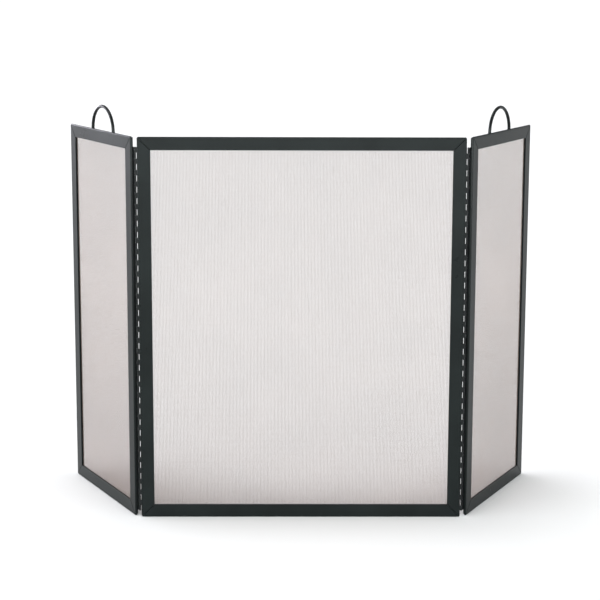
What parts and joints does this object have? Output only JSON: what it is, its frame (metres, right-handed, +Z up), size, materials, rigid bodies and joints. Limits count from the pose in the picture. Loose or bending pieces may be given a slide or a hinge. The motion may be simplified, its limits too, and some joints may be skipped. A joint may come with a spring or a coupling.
{
  "type": "folding fireplace screen",
  "caption": "Black steel folding fireplace screen with woven wire mesh panels, side wings on continuous hinges and a loop handle on each wing.",
  "frame": {"origin": "on the floor, under the middle of the centre panel's bottom rail, halfway across its flat foot", "axes": "+Z up, +X to the right along the centre panel, +Y backwards towards the fire; the room is at -Y"},
  "size_m": [1.046, 0.3075, 0.8818],
  "materials": {
    "frame_bars": "satin black powder coat over mild steel bar",
    "retainers": "satin black powder coat over mild steel strip",
    "hinge_leaves": "satin black powder coat over rolled steel strip",
    "handles": "satin black powder coat over bent steel rod",
    "screws": "blackened steel",
    "hinge_pins": "drawn steel wire, dull",
    "wire_mesh": "plain woven steel wire, dull grey"
  },
  "bodies": {
    "centre_panel": {"centre_bottom_left_screw": "screws", "centre_bottom_rail": "frame_bars", "centre_bottom_retainer": "retainers", "centre_bottom_right_screw": "screws", "centre_left_retainer": "retainers", "centre_left_stile": "frame_bars", "centre_right_retainer": "retainers", "centre_right_stile": "frame_bars", "centre_top_left_screw": "screws", "centre_top_rail": "frame_bars", "centre_top_retainer": "retainers", "centre_top_right_screw": "screws", "centre_wire_sheet": "wire_mesh", "left_hinge_centre_leaf": "hinge_leaves", "left_hinge_centre_leaf_lower_screw": "screws", "left_hinge_centre_leaf_upper_screw": "screws", "left_hinge_pin": "hinge_pins", "right_hinge_centre_leaf": "hinge_leaves", "right_hinge_centre_leaf_lower_screw": "screws", "right_hinge_centre_leaf_upper_screw": "screws", "right_hinge_pin": "hinge_pins"},
    "left_wing": {"left_handle": "handles", "left_hinge_wing_leaf": "hinge_leaves", "left_hinge_wing_leaf_lower_screw": "screws", "left_hinge_wing_leaf_upper_screw": "screws", "left_wing_bottom_left_screw": "screws", "left_wing_bottom_rail": "frame_bars", "left_wing_bottom_retainer": "retainers", "left_wing_bottom_right_screw": "screws", "left_wing_hinge_retainer": "retainers", "left_wing_hinge_stile": "frame_bars", "left_wing_outer_lower_screw": "screws", "left_wing_outer_retainer": "retainers", "left_wing_outer_stile": "frame_bars", "left_wing_outer_upper_screw": "screws", "left_wing_top_left_screw": "screws", "left_wing_top_rail": "frame_bars", "left_wing_top_retainer": "retainers", "left_wing_top_right_screw": "screws", "left_wing_wire_sheet": "wire_mesh"},
    "right_wing": {"right_handle": "handles", "right_hinge_wing_leaf": "hinge_leaves", "right_hinge_wing_leaf_lower_screw": "screws", "right_hinge_wing_leaf_upper_screw": "screws", "right_wing_bottom_left_screw": "screws", "right_wing_bottom_rail": "frame_bars", "right_wing_bottom_retainer": "retainers", "right_wing_bottom_right_screw": "screws", "right_wing_hinge_retainer": "retainers", "right_wing_hinge_stile": "frame_bars", "right_wing_outer_lower_screw": "screws", "right_wing_outer_retainer": "retainers", "right_wing_outer_stile": "frame_bars", "right_wing_outer_upper_screw": "screws", "right_wing_top_left_screw": "screws", "right_wing_top_rail": "frame_bars", "right_wing_top_retainer": "retainers", "right_wing_top_right_screw": "screws", "right_wing_wire_sheet": "wire_mesh"}
  },
  "joints": [
    {"name": "left_wing_hinge", "type": "hinge", "parent": "centre_panel", "child": "left_wing", "pos_m": [-0.349, 0.0062, 0.408], "axis": [0, 0, -1], "range_deg": [-95, 119]},
    {"name": "right_wing_hinge", "type": "hinge", "parent": "centre_panel", "child": "right_wing", "pos_m": [0.349, 0.0062, 0.408], "axis": [0, 0, 1], "range_deg": [-95, 119]}
  ]
}
